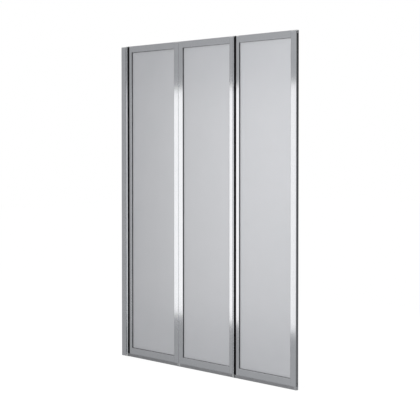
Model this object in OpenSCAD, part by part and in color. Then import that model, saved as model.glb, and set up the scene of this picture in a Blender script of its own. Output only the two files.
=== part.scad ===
// Folding bath screen: three framed panels that fold like a concertina from a wall channel.
// Millimetres. The origin is on the wall, in the panels' middle plane, at the level of the bath rim.
// +X runs from the wall to the free edge, -Y is the front, +Z is up.

/* [Screen] */
// Height from the bath rim to the top of the frames
screen_h = 1400; // [1200:10:1600]
// Width from the wall to the free edge
screen_w = 1200; // [1050:10:1400]

/* [Frames] */
// Depth of the frames, front to back
frame_d = 13; // [12.6:0.2:17]
// Wall of the extrusions
frame_wall = 1.3; // [1.1:0.1:1.4]
// Rounding of the extrusions' outer edges
edge_r = 0.8; // [0.4:0.1:1.1]
// Face width of the top and bottom rails
rail_w = 28; // [26:1:36]
// Face width of the stile that a panel hangs by, from the joint plane
hinge_stile_w = 31.5; // [30:0.5:40]
// Face width of the stile that carries the next panel, from the joint plane
fold_stile_w = 31.5; // [28:0.5:40]
// Face width of the stile at the free edge
free_stile_w = 33; // [28:1:45]
// Gap between the neighbouring stiles at a joint
joint_gap = 1.6; // [0.8:0.1:1.8]
// Width of the rib that a straight panel closes against its neighbour
rib_w = 2; // [1:0.5:4]
// Gap that the closed rib leaves
rib_gap = 0.05; // [0.02:0.01:0.1]
// Height of the plate of the caps on top of the stiles
cap_t = 4; // [3.4:0.2:6]
// Depth of the plugs that hold the caps in the stiles
plug_l = 8; // [5:1:9]
// Clearance round the plugs
plug_fit = 0.15; // [0.1:0.05:0.3]

/* [Panes] */
// Thickness of the panes
pane_t = 3; // [3:0.5:4.5]
// Depth to which the frames hold a pane
pane_bite = 8; // [6:0.5:9]
// Thickness of the glazing gasket
gasket_t = 1; // [0.8:0.1:1.2]
// Thickness of the lip with which the gasket covers the frame's sight edge
gasket_lip = 1; // [0.5:0.1:2]
// Distance from the frame's faces to the edges of the gasket's lip
gasket_set_back = 0.8; // [0.4:0.1:2]
// Free depth behind the gasket in the glazing groove
groove_spare = 1; // [0.5:0.1:1.5]

/* [Hinges] */
// Diameter of the hinge barrels
barrel_d = 7.5; // [7.3:0.1:8]
// Distance from the frames' faces to the hinge axes
axis_proud = 2; // [1.8:0.1:2.6]
// Distance from the joint planes to the hinge axes
axis_inset = 2.3; // [2:0.1:2.5]
// Clearance round the barrels
barrel_gap = 0.4; // [0.3:0.05:0.5]
// Diameter of the hinge pins
pin_d = 3.5; // [3:0.1:3.6]
// Radial clearance between the pins and their bushes
pin_fit = 0.05; // [0.02:0.01:0.08]
// Length of a pin inside its bush
pin_l = 18; // [12:1:19]
// Depth at which the outer end of a pin lies in its pivot
pin_sink = 0.4; // [0.2:0.1:0.8]
// Wall of the bushes
bush_wall = 0.95; // [0.7:0.05:1]
// Length of the bushes
bush_l = 20; // [20:1:30]
// Thickness of the bushes' thrust flange
bush_flange_t = 0.8; // [0.6:0.1:1]
// Diameter of the bushes' thrust flange
bush_flange_d = 7.2; // [6.8:0.1:7.3]
// Running gap between a thrust flange and its pivot
thrust_gap = 0.2; // [0.1:0.05:0.3]
// How far the web of a pivot runs from the hinge axis
web_reach = 6; // [5.6:0.1:7]

/* [Seals] */
// Height of the bottom seals
seal_h = 14; // [12:1:20]
// Wall of the bottom seals
seal_wall = 1.5; // [1.2:0.1:2]
// Rounding of the bottom seals' lower edges
seal_r = 2.5; // [2:0.1:3]
// Width of the caps at the ends of the bottom seals
corner_cap_w = 11; // [9:0.5:16]
// Height of the bottom pivots' underside above the bath rim
pivot_lift = 1; // [0.5:0.1:2]
// Thickness of the hinge seals' cover strip
cover_t = 1.5; // [1:0.1:1.6]
// Width of the hinge seals' cover strip
cover_w = 10.6; // [9.6:0.1:12]
// Width of the part of the cover strip beside the bottom pivot
cover_tail_w = 5; // [2:0.1:6]
// Width of the neck of the snap-in feet
neck_w = 4; // [3:0.1:5]
// Width of the snap-in feet
foot_w = 7; // [6:0.1:8]
// Thickness of the snap-in feet
foot_t = 2; // [1.5:0.1:2.2]

/* [Wall fixing] */
// Distance from the wall to the first joint plane
wall_joint_x = 46.5; // [44:0.5:60]
// Length of the wall channel's sides, from the wall
channel_l = 34; // [28:0.5:35]
// Wall of the wall channel
channel_wall = 1.6; // [1.4:0.1:1.8]
// Clearance between the wall channel and the expander, each side
channel_fit = 0.4; // [0.2:0.1:0.6]
// Gap between the wall channel and the expander's end caps
channel_end_gap = 0.3; // [0.2:0.1:1]
// Thickness of the wall channel's cap
channel_cap_t = 3; // [2:0.2:4]
// Distance from the wall to the expander's inner edge
expander_x = 6; // [5:0.5:10]
// Diameter of the holes for the wall screws
wall_hole_d = 5; // [4:0.5:6.5]
// Distance from the screen's top and bottom to the outer wall screws
wall_hole_end = 70; // [40:5:120]
// Distance between the inner wall screws
wall_hole_inner = 420; // [300:10:600]

/* [Screws] */
// Diameter of the corner screws
corner_screw_d = 4; // [3.5:0.1:4.2]
// Length of the corner screws
corner_screw_l = 35; // [30:1:45]
// Diameter of the corner screws' heads
corner_head_d = 6; // [5.6:0.1:6.2]
// Height of the corner screws' heads
corner_head_h = 2.4; // [1.8:0.1:3]
// Clearance round the corner screws where they pass through the stiles
corner_hole_fit = 0.3; // [0.1:0.1:0.5]
// Clearance round the corner screws' heads where they pass into the stiles
access_fit = 0.6; // [0.2:0.1:0.8]
// Distance from the rails' outer edge to the corner screws
port_w = 9; // [8.8:0.1:9.6]
// Offset of the corner screws from the middle plane
port_y = 1.5; // [1.2:0.1:1.8]
// Wall round the screw ports
port_wall = 1.2; // [1:0.1:1.5]
// Diameter of the screws that lock the expander
lock_screw_d = 3.2; // [2.8:0.1:3.6]
// Diameter of the locking screws' heads
lock_head_d = 6.4; // [5.6:0.1:7]
// Length of the locking screws
lock_screw_l = 9.5; // [7:0.5:10.5]
// Distance from the screen's top and bottom to the outer locking screws
lock_end = 150; // [100:10:250]

/* [Hidden] */
$fn = 48;

panel_count = 3;
// How far a cutting shape runs past the face that it opens
cut = 1;
// How far the shapes of one piece run into each other where they join
join = 0.1;
half_d = frame_d / 2;
// Joint planes lie a whole number of hundredths apart, and the last panel takes up the rest
panel_w = round((screen_w - wall_joint_x) / panel_count * 100) / 100;
// Bottom and top of the stiles, and length of the stiles
stile_z0 = seal_h;
stile_z1 = screen_h - cap_t;
stile_l = stile_z1 - stile_z0;
// Stiles start half the joint gap from the joint plane
stile_x0 = joint_gap / 2;

// Glazing groove, and the chamber beside it
groove_w = pane_t + 2 * gasket_t;
groove_depth = pane_bite + gasket_t + groove_spare;
chamber_d = frame_d - 2 * frame_wall;
lip_hollow = half_d - groove_w / 2 - 2 * frame_wall;
// The block of material that holds a snap-in foot's slot
slot_depth = frame_wall + foot_t + frame_wall;

// Hinges, in joint coordinates: x from the joint plane, y from the middle plane, hinge side at -y
axis_y = -half_d - axis_proud;
barrel_r = barrel_d / 2;
cove_r = barrel_r + barrel_gap;
pin_r = pin_d / 2;
bush_r = pin_r + pin_fit + bush_wall;
ear_gap = bush_flange_t + thrust_gap;
top_ear_z = stile_z1 + ear_gap;
bottom_ear_z = stile_z0 - ear_gap;
cover_x0 = cove_r - axis_inset;
// Front and back of the web between a pivot's ear and its body, from the hinge axis
web_y0 = axis_proud - cover_t;
web_y1 = barrel_r - 3 * join;
// Where the end of the hinge seal starts beside the web
seal_end_x = web_reach - axis_inset + thrust_gap;
slot_x = cover_x0 + cover_w / 2;

channel_half = half_d + channel_fit + channel_wall;
lock_head_h = channel_wall;
corner_inner_r = corner_screw_d / 2 + corner_hole_fit;
access_r = corner_head_d / 2 + access_fit;
corner_zs = [stile_z0 + port_w, screen_h - port_w];
lock_zs = [lock_end, screen_h / 2, screen_h - lock_end];
// Width of the expander that stands out of the channel and has caps
expander_end_w = wall_joint_x - channel_l - channel_end_gap;

silver = "#c4c6c8";
satin_glass = "#d2d5d6";
pale_grey = "#b4b6b7";
seal_grey = "#77797a";

// Where panel n starts and ends; the joint planes are at the starts
function joint_x(n) = wall_joint_x + (n - 1) * panel_w;
// The second hinge is on the back, the others are on the front
function hinge_side(n) = n == 2 ? 1 : -1;
// Face width of the stile on the far side of panel n, and where that stile ends
function far_stile_w(n) = n == panel_count ? free_stile_w : fold_stile_w;
function far_edge(n) = n == panel_count ? screen_w : joint_x(n + 1);
// Sight edges of panel n
function sight_x0(n) = joint_x(n) + hinge_stile_w;
function sight_x1(n) = far_edge(n) - far_stile_w(n);
// The corner screws keep clear of the slot on the hinge side
function screw_y(n) = -hinge_side(n) * port_y;

// ---- placing ----

// Joint coordinates to the screen's own, for what hangs on joint n
module on_child_side(n) {
    translate([joint_x(n), 0, 0])
        mirror([0, hinge_side(n) > 0 ? 1 : 0, 0])
            children();
}

// The same for what carries joint n: x runs back towards the wall
module on_parent_side(n) {
    translate([joint_x(n), 0, 0])
        mirror([0, hinge_side(n) > 0 ? 1 : 0, 0])
            mirror([1, 0, 0])
                children();
}

// The free edge, with x running back towards the wall
module on_free_edge() {
    translate([screen_w, 0, 0])
        mirror([1, 0, 0])
            children();
}

// Sections drawn with x along the screen and y down from the outer edge become rails along X
module along_x(x0, x1, z, up) {
    translate([x0, 0, z])
        mirror([0, 0, up ? 1 : 0])
            rotate([90, 0, 90])
                linear_extrude(x1 - x0)
                    children();
}

// ---- sections ----

module rounded_bar(x0, x1, d, r) {
    translate([x0 + r, -d / 2])
        square([x1 - x0 - 2 * r, d]);
    translate([x0, -d / 2 + r])
        square([x1 - x0, d - 2 * r]);
    for (x = [x0 + r, x1 - r])
        for (y = [-d / 2 + r, d / 2 - r])
            translate([x, y])
                circle(r);
}

// Chamber, glazing groove and hollow lips of a bar whose sight edge is at x1
module bar_hollows(x0, x1) {
    translate([x0 + frame_wall, -chamber_d / 2])
        square([x1 - x0 - groove_depth - 2 * frame_wall, chamber_d]);
    translate([x1 - groove_depth, -groove_w / 2])
        square([groove_depth + cut, groove_w]);
    for (y = [-chamber_d / 2, chamber_d / 2 - lip_hollow])
        translate([x1 - groove_depth - frame_wall - join, y])
            square([groove_depth + join, lip_hollow]);
}

// The block of a snap-in slot in the face at y = -half_d, centred on x
module slot_block(x) {
    translate([x - foot_w / 2 - frame_wall, -half_d])
        square([foot_w + 2 * frame_wall, slot_depth]);
}

// Neck and foot that fill the slot
module snap_foot(x, extra) {
    translate([x - neck_w / 2, -half_d - extra])
        square([neck_w, frame_wall + extra + join]);
    translate([x - foot_w / 2, -half_d + frame_wall])
        square([foot_w, foot_t]);
}

module at_axis(x) {
    translate([x, axis_y])
        children();
}

module hinge_stile_section() {
    difference() {
        rounded_bar(stile_x0, hinge_stile_w, frame_d, edge_r);
        difference() {
            bar_hollows(stile_x0, hinge_stile_w);
            slot_block(slot_x);
        }
        snap_foot(slot_x, cut);
        at_axis(-axis_inset)
            circle(cove_r);
    }
    translate([rib_gap - stile_x0, half_d - 2 * edge_r - rib_w])
        square([joint_gap - rib_gap + join, rib_w]);
}

module fold_stile_section() {
    difference() {
        union() {
            difference() {
                rounded_bar(stile_x0, fold_stile_w, frame_d, edge_r);
                bar_hollows(stile_x0, fold_stile_w);
            }
            at_axis(axis_inset)
                circle(barrel_r);
        }
        at_axis(axis_inset)
            circle(bush_r);
    }
}

module expander_section() {
    inner_x = wall_joint_x - expander_x;
    difference() {
        union() {
            difference() {
                rounded_bar(stile_x0, inner_x, frame_d, edge_r);
                translate([stile_x0 + frame_wall, -chamber_d / 2])
                    square([inner_x - stile_x0 - 2 * frame_wall, chamber_d]);
            }
            at_axis(axis_inset)
                circle(barrel_r);
        }
        at_axis(axis_inset)
            circle(bush_r);
    }
}

// Rail section with its outer edge at y = 0 and its sight edge at y = rail_w, x across the depth
module rail_section(n, with_slot) {
    port_r = corner_screw_d / 2;
    boss_r = port_r + port_wall;
    side = screw_y(n) > 0 ? 1 : -1;
    difference() {
        rotate(90)
            rounded_bar(0, rail_w, frame_d, edge_r);
        difference() {
            rotate(90)
                bar_hollows(0, rail_w);
            if (with_slot)
                translate([0, half_d])
                    slot_block(0);
            translate([screw_y(n), port_w])
                circle(boss_r);
            translate([side > 0 ? screw_y(n) : -half_d, port_w - port_wall])
                square([half_d - port_y, 2 * port_wall]);
        }
        if (with_slot)
            translate([0, half_d])
                snap_foot(0, cut);
        translate([screw_y(n), port_w])
            circle(port_r);
    }
}

// ---- stiles ----

// Holes for the corner screws through a stile from x0 to its sight edge at x1
module corner_screw_holes(x0, x1, y) {
    for (z = corner_zs)
        translate([0, y, z])
            rotate([0, 90, 0]) {
                translate([0, 0, x0 - cut])
                    cylinder(r = access_r, h = frame_wall + 2 * cut);
                translate([0, 0, x1 - groove_depth - frame_wall - cut])
                    cylinder(r = corner_inner_r, h = groove_depth + frame_wall + 2 * cut);
            }
}

module hinge_stile(n) {
    color(silver)
        on_child_side(n)
            difference() {
                translate([0, 0, stile_z0])
                    linear_extrude(stile_l)
                        hinge_stile_section();
                corner_screw_holes(stile_x0, hinge_stile_w, port_y);
            }
}

module fold_stile(n) {
    color(silver)
        on_parent_side(n + 1)
            difference() {
                translate([0, 0, stile_z0])
                    linear_extrude(stile_l)
                        fold_stile_section();
                corner_screw_holes(stile_x0, fold_stile_w, -port_y);
            }
}

module free_stile(n) {
    color(silver)
        on_free_edge()
            difference() {
                translate([0, 0, stile_z0])
                    linear_extrude(stile_l)
                        difference() {
                            rounded_bar(0, free_stile_w, frame_d, edge_r);
                            bar_hollows(0, free_stile_w);
                        }
                corner_screw_holes(0, free_stile_w, screw_y(n));
            }
}

// ---- rails, panes and their gaskets ----

module top_rail(n) {
    color(silver)
        along_x(sight_x0(n), sight_x1(n), screen_h, true)
            rail_section(n, false);
}

module bottom_rail(n) {
    color(silver)
        along_x(sight_x0(n), sight_x1(n), stile_z0, false)
            rail_section(n, true);
}

// A slab over panel n's sight opening, grown by so much on every side
module over_sight(n, grow, t) {
    z0 = stile_z0 + rail_w - grow;
    z1 = screen_h - rail_w + grow;
    translate([sight_x0(n) - grow, -t / 2, z0])
        cube([sight_x1(n) - sight_x0(n) + 2 * grow, t, z1 - z0]);
}

module pane(n) {
    color(satin_glass)
        over_sight(n, pane_bite, pane_t);
}

// A channel round the pane's edge, with a lip on each face that lies along the sight edge
module gasket(n) {
    lip_d = frame_d - 2 * gasket_set_back;
    color("#4a4c4e")
        difference() {
            union() {
                over_sight(n, pane_bite + gasket_t, groove_w);
                over_sight(n, 0, lip_d);
            }
            over_sight(n, -gasket_lip, lip_d + 2 * cut);
            over_sight(n, pane_bite, pane_t);
        }
}

// ---- screws ----

module corner_screw() {
    cylinder(r = corner_screw_d / 2, h = corner_screw_l);
    translate([0, 0, -corner_head_h])
        cylinder(r = corner_head_d / 2, h = corner_head_h);
}

// The heads bear on the wall between the stile's chamber and its glazing groove
module corner_screws(n) {
    reach = groove_depth + frame_wall;
    color("#8d8f91")
        for (z = corner_zs) {
            translate([sight_x0(n) - reach, screw_y(n), z])
                rotate([0, 90, 0])
                    corner_screw();
            translate([sight_x1(n) + reach, screw_y(n), z])
                rotate([0, -90, 0])
                    corner_screw();
        }
}

// Countersunk screws in the back of the wall channel
module lock_screws() {
    color("#8d8f91")
        for (z = lock_zs)
            translate([(expander_x + channel_l) / 2, channel_half, z])
                rotate([90, 0, 0]) {
                    cylinder(r1 = lock_head_d / 2, r2 = lock_screw_d / 2, h = lock_head_h);
                    cylinder(r = lock_screw_d / 2, h = lock_screw_l);
                }
}

// ---- hinges ----

// Space round the barrel's axis that a neighbour's cap leaves free
module cove(x, z0, z1) {
    translate([x, axis_y, z0])
        cylinder(r = cove_r, h = z1 - z0);
}

module hinge_bushes(n) {
    color("#e6e6e2")
        on_parent_side(n)
            translate([axis_inset, axis_y, 0])
                difference() {
                    union() {
                        translate([0, 0, stile_z1 - bush_l])
                            cylinder(r = bush_r, h = bush_l);
                        translate([0, 0, stile_z1])
                            cylinder(r = bush_flange_d / 2, h = bush_flange_t);
                        translate([0, 0, stile_z0])
                            cylinder(r = bush_r, h = bush_l);
                        translate([0, 0, stile_z0 - bush_flange_t])
                            cylinder(r = bush_flange_d / 2, h = bush_flange_t);
                    }
                    translate([0, 0, stile_z0 - bush_flange_t - cut])
                        cylinder(r = pin_r + pin_fit, h = stile_l + 2 * (bush_flange_t + cut));
                }
}

module hinge_pins(n) {
    color("#8d8f91")
        on_child_side(n)
            translate([-axis_inset, axis_y, 0]) {
                translate([0, 0, stile_z1 - pin_l])
                    cylinder(r = pin_r, h = screen_h - pin_sink - stile_z1 + pin_l);
                translate([0, 0, pivot_lift + pin_sink])
                    cylinder(r = pin_r, h = stile_z0 + pin_l - pivot_lift - pin_sink);
            }
}

// The ear round a pin and the web that joins it to the pivot's body
module pivot_ear(z0, z1) {
    translate([-axis_inset, axis_y, z0])
        difference() {
            union() {
                cylinder(r = barrel_r, h = z1 - z0);
                translate([0, web_y0, 0])
                    cube([web_reach, web_y1 - web_y0, z1 - z0]);
            }
            translate([0, 0, -cut])
                cylinder(r = pin_r, h = z1 - z0 + 2 * cut);
        }
}

// The plug that holds a cap in the chamber of a hinge stile, beside the slot's block
module hinge_stile_plug(z0) {
    y0 = -half_d + slot_depth + plug_fit;
    translate([stile_x0 + frame_wall + plug_fit, y0, z0])
        cube([corner_cap_w - frame_wall - plug_fit, half_d - frame_wall - plug_fit - y0, plug_l]);
}

// The same for the other stiles, clear of the barrel where it reaches into the chamber
module stile_plug(x0, z0) {
    y0 = max(-chamber_d / 2, axis_y + barrel_r) + plug_fit;
    translate([x0 + frame_wall + plug_fit, y0, z0])
        cube([corner_cap_w - frame_wall - plug_fit, chamber_d / 2 - plug_fit - y0, plug_l]);
}

module cap_slab(x0, x1, z0, z1) {
    translate([0, 0, z0])
        linear_extrude(z1 - z0)
            rounded_bar(x0, x1, frame_d, edge_r);
}

module top_pivot(n) {
    color(pale_grey)
        on_child_side(n)
            union() {
                difference() {
                    cap_slab(stile_x0, hinge_stile_w, stile_z1, screen_h);
                    cove(-axis_inset, stile_z1 - cut, screen_h + cut);
                }
                pivot_ear(top_ear_z, screen_h);
                hinge_stile_plug(stile_z1 - plug_l);
            }
}

module bottom_pivot(n) {
    color(pale_grey)
        on_child_side(n)
            union() {
                difference() {
                    cap_slab(stile_x0, stile_x0 + corner_cap_w, 0, stile_z0);
                    cove(-axis_inset, -cut, stile_z0 + cut);
                }
                pivot_ear(pivot_lift, bottom_ear_z);
                hinge_stile_plug(stile_z0);
            }
}

// ---- caps of the other stiles ----

module fold_stile_cap(n) {
    color(pale_grey)
        on_parent_side(n + 1)
            union() {
                difference() {
                    cap_slab(stile_x0, fold_stile_w, stile_z1, screen_h);
                    cove(axis_inset, stile_z1 - cut, screen_h + cut);
                }
                stile_plug(stile_x0, stile_z1 - plug_l);
            }
}

module fold_seal_cap(n) {
    color(pale_grey)
        on_parent_side(n + 1)
            union() {
                difference() {
                    cap_slab(stile_x0, stile_x0 + corner_cap_w, 0, stile_z0);
                    cove(axis_inset, -cut, stile_z0 + cut);
                }
                stile_plug(stile_x0, stile_z0);
            }
}

module free_stile_cap() {
    color(pale_grey)
        on_free_edge()
            union() {
                cap_slab(0, free_stile_w, stile_z1, screen_h);
                stile_plug(0, stile_z1 - plug_l);
            }
}

module free_seal_cap() {
    color(pale_grey)
        on_free_edge()
            union() {
                cap_slab(0, corner_cap_w, 0, stile_z0);
                stile_plug(0, stile_z0);
            }
}

// ---- seals ----

// Black rubber strip that covers the hinge gap; it snaps into the hinge stile's slot
module hinge_seal(n) {
    color("#1d1e1f")
        on_child_side(n)
            union() {
                translate([0, 0, stile_z0])
                    linear_extrude(stile_l)
                        union() {
                            translate([cover_x0, -half_d - cover_t])
                                square([cover_w, cover_t]);
                            snap_foot(slot_x, join);
                        }
                translate([seal_end_x, -half_d - cover_t, stile_z1])
                    cube([cover_x0 + cover_w - seal_end_x, cover_t, cap_t]);
                translate([seal_end_x, -half_d - cover_t, pivot_lift])
                    cube([cover_tail_w, cover_t, stile_z0 - pivot_lift]);
            }
}

// Hollow strip under a panel, with a flat underside on the bath rim
module bottom_seal(n) {
    x0 = joint_x(n) + stile_x0 + corner_cap_w;
    x1 = far_edge(n) - corner_cap_w - (n == panel_count ? 0 : stile_x0);
    color(seal_grey)
        union() {
            translate([x0, 0, 0])
                rotate([90, 0, 90])
                    linear_extrude(x1 - x0)
                        difference() {
                            union() {
                                translate([-half_d, seal_r])
                                    square([frame_d, seal_h - seal_r]);
                                translate([-half_d + seal_r, 0])
                                    square([frame_d - 2 * seal_r, seal_r]);
                                for (side = [-1, 1])
                                    translate([side * (half_d - seal_r), seal_r])
                                        circle(seal_r);
                            }
                            translate([-half_d + seal_wall, seal_wall])
                                square([frame_d - 2 * seal_wall, seal_h - 2 * seal_wall]);
                        }
            along_x(sight_x0(n), sight_x1(n), stile_z0, false)
                translate([0, half_d])
                    snap_foot(0, join);
        }
}

// ---- wall side ----

module wall_channel() {
    hole_zs = [wall_hole_end, (screen_h - wall_hole_inner) / 2,
        (screen_h + wall_hole_inner) / 2, screen_h - wall_hole_end];
    color(silver)
        difference() {
            translate([0, -channel_half, 0])
                cube([channel_l, 2 * channel_half, stile_z1]);
            translate([channel_wall, -channel_half + channel_wall, -cut])
                cube([channel_l, 2 * (channel_half - channel_wall), stile_z1 + 2 * cut]);
            for (z = hole_zs)
                translate([-cut, 0, z])
                    rotate([0, 90, 0])
                        cylinder(r = wall_hole_d / 2, h = channel_wall + 2 * cut);
            for (z = lock_zs)
                translate([(expander_x + channel_l) / 2, channel_half, z])
                    rotate([90, 0, 0])
                        cylinder(r1 = lock_head_d / 2, r2 = lock_screw_d / 2, h = lock_head_h);
        }
}

module wall_channel_cap() {
    tongue_half = channel_half - channel_wall - plug_fit;
    color(pale_grey)
        union() {
            translate([0, -channel_half, stile_z1])
                cube([channel_l, 2 * channel_half, channel_cap_t]);
            translate([channel_wall + plug_fit, -tongue_half, stile_z1 - plug_l])
                cube([expander_x - channel_wall - 2 * plug_fit, 2 * tongue_half, plug_l]);
        }
}

module expander_profile() {
    color(silver)
        difference() {
            on_parent_side(1)
                translate([0, 0, stile_z0])
                    linear_extrude(stile_l)
                        expander_section();
            for (z = lock_zs)
                translate([(expander_x + channel_l) / 2, half_d + cut, z])
                    rotate([90, 0, 0])
                        cylinder(r = lock_screw_d / 2, h = frame_wall + 2 * cut);
        }
}

module expander_cap() {
    color(pale_grey)
        on_parent_side(1)
            union() {
                difference() {
                    cap_slab(stile_x0, expander_end_w, stile_z1, screen_h);
                    cove(axis_inset, stile_z1 - cut, screen_h + cut);
                }
                stile_plug(stile_x0, stile_z1 - plug_l);
            }
}

module expander_foot() {
    color(pale_grey)
        on_parent_side(1)
            union() {
                difference() {
                    cap_slab(stile_x0, expander_end_w, 0, stile_z0);
                    cove(axis_inset, -cut, stile_z0 + cut);
                }
                stile_plug(stile_x0, stile_z0);
            }
}

// ---- nodes ----

wall_channel();
wall_channel_cap();
expander_profile();
expander_cap();
expander_foot();
lock_screws();  // expander_lock_screws
hinge_bushes(1);  // hinge_1_bushes

hinge_stile(1);  // panel_1_hinge_stile
fold_stile(1);  // panel_1_fold_stile
top_rail(1);  // panel_1_top_rail
bottom_rail(1);  // panel_1_bottom_rail
pane(1);  // panel_1_pane
gasket(1);  // panel_1_gasket
corner_screws(1);  // panel_1_corner_screws
hinge_seal(1);  // panel_1_hinge_seal
top_pivot(1);  // panel_1_top_pivot
bottom_pivot(1);  // panel_1_bottom_pivot
hinge_pins(1);  // panel_1_hinge_pins
bottom_seal(1);  // panel_1_bottom_seal
fold_stile_cap(1);  // panel_1_stile_cap
fold_seal_cap(1);  // panel_1_seal_cap
hinge_bushes(2);  // hinge_2_bushes

hinge_stile(2);  // panel_2_hinge_stile
fold_stile(2);  // panel_2_fold_stile
top_rail(2);  // panel_2_top_rail
bottom_rail(2);  // panel_2_bottom_rail
pane(2);  // panel_2_pane
gasket(2);  // panel_2_gasket
corner_screws(2);  // panel_2_corner_screws
hinge_seal(2);  // panel_2_hinge_seal
top_pivot(2);  // panel_2_top_pivot
bottom_pivot(2);  // panel_2_bottom_pivot
hinge_pins(2);  // panel_2_hinge_pins
bottom_seal(2);  // panel_2_bottom_seal
fold_stile_cap(2);  // panel_2_stile_cap
fold_seal_cap(2);  // panel_2_seal_cap
hinge_bushes(3);  // hinge_3_bushes

hinge_stile(3);  // panel_3_hinge_stile
free_stile(3);  // panel_3_free_stile
top_rail(3);  // panel_3_top_rail
bottom_rail(3);  // panel_3_bottom_rail
pane(3);  // panel_3_pane
gasket(3);  // panel_3_gasket
corner_screws(3);  // panel_3_corner_screws
hinge_seal(3);  // panel_3_hinge_seal
top_pivot(3);  // panel_3_top_pivot
bottom_pivot(3);  // panel_3_bottom_pivot
hinge_pins(3);  // panel_3_hinge_pins
bottom_seal(3);  // panel_3_bottom_seal
free_stile_cap();  // panel_3_stile_cap
free_seal_cap();  // panel_3_seal_cap
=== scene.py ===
import math

import bmesh
import bpy
from mathutils import Matrix, Vector


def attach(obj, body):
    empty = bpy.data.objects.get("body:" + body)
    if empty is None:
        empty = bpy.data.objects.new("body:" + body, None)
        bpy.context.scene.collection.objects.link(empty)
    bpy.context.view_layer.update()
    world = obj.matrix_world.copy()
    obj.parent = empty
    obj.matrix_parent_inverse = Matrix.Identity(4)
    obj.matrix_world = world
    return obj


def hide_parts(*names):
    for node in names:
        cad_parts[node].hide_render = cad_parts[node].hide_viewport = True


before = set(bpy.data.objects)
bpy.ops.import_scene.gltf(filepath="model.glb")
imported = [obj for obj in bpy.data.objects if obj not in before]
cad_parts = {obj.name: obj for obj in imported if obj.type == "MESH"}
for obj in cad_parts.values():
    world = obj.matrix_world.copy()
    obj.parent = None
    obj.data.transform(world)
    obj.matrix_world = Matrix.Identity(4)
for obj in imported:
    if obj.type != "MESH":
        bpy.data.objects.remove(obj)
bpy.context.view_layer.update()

scene = bpy.context.scene

# ======== Camera ========
# It stands off the screen's front right corner, a little above half height, and looks through a long lens.
# A small lens shift with a slight tilt keeps the screen upright in the frame.
camera_data = bpy.data.cameras.new("camera")
camera_data.sensor_width = 36
camera_data.lens = 121.03
camera_data.shift_y = -0.045
camera_azimuth = 52.32
camera_tilt = 1.714
camera = bpy.data.objects.new("camera", camera_data)
camera.location = (5.325, -3.614, 0.940)
camera.rotation_euler = (math.radians(90 - camera_tilt), 0, math.radians(camera_azimuth))
scene.collection.objects.link(camera)
scene.camera = camera
scene.view_settings.view_transform = "Standard"


# ======== Studio ========
# A white floor and a white sweep. Polished metal shows what stands round it, so to reflections the sweep is grey,
# with a low band of light at the right, a softbox at the front left and a black flag at the back right. A lamp in
# front casts the shadow, and one behind lights the far face.
def linear(hex_colour):
    """An sRGB hex colour as the linear values that Blender's sockets take."""
    parts = [int(hex_colour[k:k + 2], 16) / 255 for k in (1, 3, 5)]
    return tuple(c / 12.92 if c <= 0.04045 else ((c + 0.055) / 1.055) ** 2.4 for c in parts) + (1.0,)


def add_node(tree, kind, settings=None, values=None, links=None):
    """A node of that kind, with its properties, its sockets' values and links into its sockets."""
    node = tree.nodes.new(kind)
    for name, value in (settings or {}).items():
        setattr(node, name, value)
    for socket, value in (values or {}).items():
        node.inputs[socket].default_value = value
    for socket, source in (links or {}).items():
        tree.links.new(source, node.inputs[socket])
    return node


def empty_material(name):
    """A material with nothing in its node tree, and that tree."""
    material = bpy.data.materials.new(name)
    material.use_nodes = True
    material.node_tree.nodes.clear()
    return material, material.node_tree


ambient_level = 0.66
sweep_far, sweep_near, sweep_front, sweep_right = 0.365, 0.47, 0.28, 0.44
foot_gain, head_gain = 0.96, 1.09
band_strength = 1.15
world = bpy.data.worlds.new("studio")
scene.world = world
world.use_nodes = True
sky = world.node_tree
sky.nodes.clear()
ray = add_node(sky, "ShaderNodeLightPath")
toward = add_node(sky, "ShaderNodeTexCoord")
across = add_node(sky, "ShaderNodeSeparateXYZ", links={0: toward.outputs["Generated"]})
# How far a ray points along X, from -1 to 1, sets the sweep's grey. Each row gives two such values, and the greys
# that it passes between them.
grey_turns = []
for start, end, first_grey, second_grey in ((-0.84, -0.74, sweep_far, sweep_near),
                                            (-0.72, -0.62, sweep_near, sweep_front),
                                            (0.20, 0.60, sweep_front, sweep_right)):
    grey_turns.append(add_node(sky, "ShaderNodeMapRange", values={
        "From Min": start, "From Max": end, "To Min": first_grey, "To Max": second_grey},
        links={"Value": across.outputs["X"]}))
far_turn, front_turn, right_turn = grey_turns
dipped_level = add_node(sky, "ShaderNodeMath", {"operation": "MAXIMUM"},
                        links={0: front_turn.outputs[0], 1: right_turn.outputs[0]})
lower_level = add_node(sky, "ShaderNodeMath", {"operation": "MINIMUM"},
                       links={0: far_turn.outputs[0], 1: dipped_level.outputs[0]})
# The sweep is a little brighter above than below, by how far the ray points along Z.
height_gain = add_node(sky, "ShaderNodeMapRange", values={
    "From Min": -0.16, "From Max": 0.08, "To Min": foot_gain, "To Max": head_gain},
    links={"Value": across.outputs["Z"]})
graded_level = add_node(sky, "ShaderNodeMath", {"operation": "MULTIPLY"},
                        links={0: lower_level.outputs[0], 1: height_gain.outputs[0]})
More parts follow.
